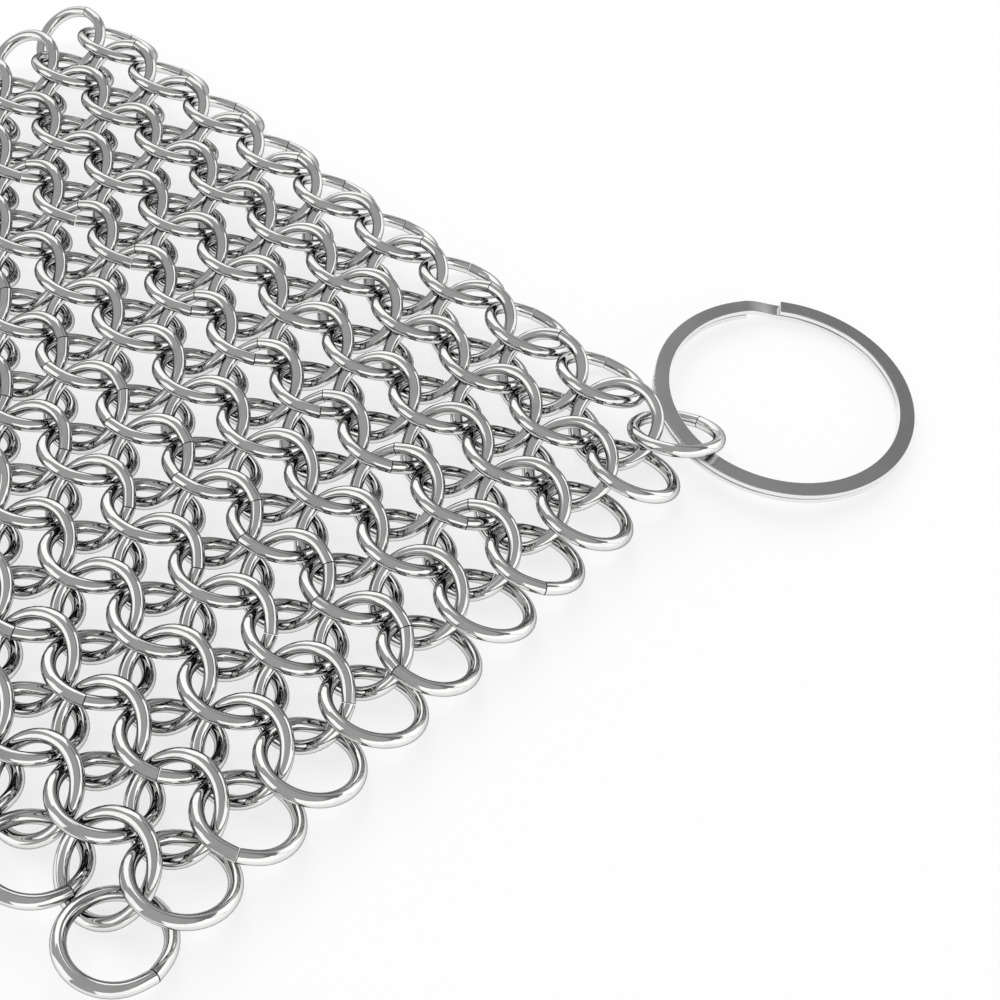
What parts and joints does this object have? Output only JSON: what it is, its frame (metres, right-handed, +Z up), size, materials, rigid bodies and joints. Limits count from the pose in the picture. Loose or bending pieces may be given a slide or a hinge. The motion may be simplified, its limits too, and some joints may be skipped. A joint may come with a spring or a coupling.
{
  "type": "chainmail pot scrubber",
  "caption": "Flexible sheet of interlinked polished steel rings for scouring pots and pans, with a flat-wire split ring on one corner to hang it by.",
  "frame": {"origin": "under the middle of the whole scrubber as it lies flat, on the surface it lies on", "axes": "+X along the rows of links, towards the corner with the hanging ring; +Y across the rows, towards the edge that the hanging ring hangs from; +Z up"},
  "size_m": [0.1478, 0.1256, 0.007],
  "materials": {
    "link_wire": "polished stainless steel wire, mirror bright",
    "ring_strip": "satin steel strip, darker than the links"
  },
  "bodies": {
    "weave_row_01": {"weave_row_01": "link_wire"},
    "weave_row_02": {"weave_row_02": "link_wire"},
    "weave_row_03": {"weave_row_03": "link_wire"},
    "weave_row_04": {"weave_row_04": "link_wire"},
    "weave_row_05": {"weave_row_05": "link_wire"},
    "weave_row_06": {"weave_row_06": "link_wire"},
    "weave_row_07": {"weave_row_07": "link_wire"},
    "weave_row_08": {"weave_row_08": "link_wire"},
    "weave_row_09": {"weave_row_09": "link_wire"},
    "weave_row_10": {"weave_row_10": "link_wire"},
    "weave_row_11": {"weave_row_11": "link_wire"},
    "weave_row_12": {"weave_row_12": "link_wire"},
    "weave_row_13": {"weave_row_13": "link_wire"},
    "weave_row_14": {"weave_row_14": "link_wire"},
    "weave_row_15": {"weave_row_15": "link_wire"},
    "weave_row_16": {"weave_row_16": "link_wire"},
    "weave_row_17": {"weave_row_17": "link_wire"},
    "weave_row_18": {"weave_row_18": "link_wire"},
    "weave_row_19": {"weave_row_19": "link_wire"},
    "weave_row_20": {"weave_row_20": "link_wire"},
    "weave_row_21": {"weave_row_21": "link_wire"},
    "corner_link": {"corner_link": "link_wire"},
    "near_corner_link": {"near_corner_link": "link_wire"},
    "split_ring": {"split_ring": "ring_strip"}
  },
  "joints": [
    {"name": "row_10_bend", "type": "hinge", "parent": "weave_row_11", "child": "weave_row_10", "pos_m": [0, -0.01102, 0.00217], "axis": [1, 0, 0], "range_deg": [-14, 14]},
    {"name": "row_09_bend", "type": "hinge", "parent": "weave_row_10", "child": "weave_row_09", "pos_m": [0, -0.00662, 0.0045], "axis": [1, 0, 0], "range_deg": [-14, 14]},
    {"name": "row_08_bend", "type": "hinge", "parent": "weave_row_09", "child": "weave_row_08", "pos_m": [0, -0.00222, 0.00217], "axis": [1, 0, 0], "range_deg": [-14, 14]},
    {"name": "row_07_bend", "type": "hinge", "parent": "weave_row_08", "child": "weave_row_07", "pos_m": [0, 0.00218, 0.0045], "axis": [1, 0, 0], "range_deg": [-14, 14]},
    {"name": "row_06_bend", "type": "hinge", "parent": "weave_row_07", "child": "weave_row_06", "pos_m": [0, 0.00658, 0.00217], "axis": [1, 0, 0], "range_deg": [-14, 14]},
    {"name": "row_05_bend", "type": "hinge", "parent": "weave_row_06", "child": "weave_row_05", "pos_m": [0, 0.01098, 0.0045], "axis": [1, 0, 0], "range_deg": [-14, 14]},
    {"name": "row_04_bend", "type": "hinge", "parent": "weave_row_05", "child": "weave_row_04", "pos_m": [0, 0.01538, 0.00217], "axis": [1, 0, 0], "range_deg": [-14, 14]},
    {"name": "row_03_bend", "type": "hinge", "parent": "weave_row_04", "child": "weave_row_03", "pos_m": [0, 0.01978, 0.0045], "axis": [1, 0, 0], "range_deg": [-14, 14]},
    {"name": "row_02_bend", "type": "hinge", "parent": "weave_row_03", "child": "weave_row_02", "pos_m": [0, 0.02418, 0.00217], "axis": [1, 0, 0], "range_deg": [-14, 14]},
    {"name": "row_01_bend", "type": "hinge", "parent": "weave_row_02", "child": "weave_row_01", "pos_m": [0, 0.02858, 0.0045], "axis": [1, 0, 0], "range_deg": [-14, 14]},
    {"name": "row_12_bend", "type": "hinge", "parent": "weave_row_11", "child": "weave_row_12", "pos_m": [0, -0.01542, 0.0045], "axis": [-1, 0, 0], "range_deg": [-14, 14]},
    {"name": "row_13_bend", "type": "hinge", "parent": "weave_row_12", "child": "weave_row_13", "pos_m": [0, -0.01982, 0.00217], "axis": [-1, 0, 0], "range_deg": [-14, 14]},
    {"name": "row_14_bend", "type": "hinge", "parent": "weave_row_13", "child": "weave_row_14", "pos_m": [0, -0.02422, 0.0045], "axis": [-1, 0, 0], "range_deg": [-14, 14]},
    {"name": "row_15_bend", "type": "hinge", "parent": "weave_row_14", "child": "weave_row_15", "pos_m": [0, -0.02862, 0.00217], "axis": [-1, 0, 0], "range_deg": [-14, 14]},
    {"name": "row_16_bend", "type": "hinge", "parent": "weave_row_15", "child": "weave_row_16", "pos_m": [0, -0.03302, 0.0045], "axis": [-1, 0, 0], "range_deg": [-14, 14]},
    {"name": "row_17_bend", "type": "hinge", "parent": "weave_row_16", "child": "weave_row_17", "pos_m": [0, -0.03742, 0.00217], "axis": [-1, 0, 0], "range_deg": [-14, 14]},
    {"name": "row_18_bend", "type": "hinge", "parent": "weave_row_17", "child": "weave_row_18", "pos_m": [0, -0.04182, 0.0045], "axis": [-1, 0, 0], "range_deg": [-14, 14]},
    {"name": "row_19_bend", "type": "hinge", "parent": "weave_row_18", "child": "weave_row_19", "pos_m": [0, -0.04622, 0.00217], "axis": [-1, 0, 0], "range_deg": [-14, 14]},
    {"name": "row_20_bend", "type": "hinge", "parent": "weave_row_19", "child": "weave_row_20", "pos_m": [0, -0.05062, 0.0045], "axis": [-1, 0, 0], "range_deg": [-14, 14]},
    {"name": "row_21_bend", "type": "hinge", "parent": "weave_row_20", "child": "weave_row_21", "pos_m": [0, -0.05502, 0.00217], "axis": [-1, 0, 0], "range_deg": [-14, 14]},
    {"name": "corner_link_swing", "type": "hinge", "parent": "weave_row_02", "child": "corner_link", "pos_m": [0.05106, 0.02858, 0.0045], "axis": [-1, 0, 0], "range_deg": [-14, 60]},
    {"name": "near_corner_link_swing", "type": "hinge", "parent": "weave_row_20", "child": "near_corner_link", "pos_m": [0.05106, -0.05502, 0.00217], "axis": [1, 0, 0], "range_deg": [-60, 12]},
    {"name": "split_ring_turn", "type": "hinge", "parent": "corner_link", "child": "split_ring", "pos_m": [0.05141, 0.03021, 0.00327], "axis": [-0.3322, -0.9432, 0], "range_deg": [-120, 0]}
  ]
}
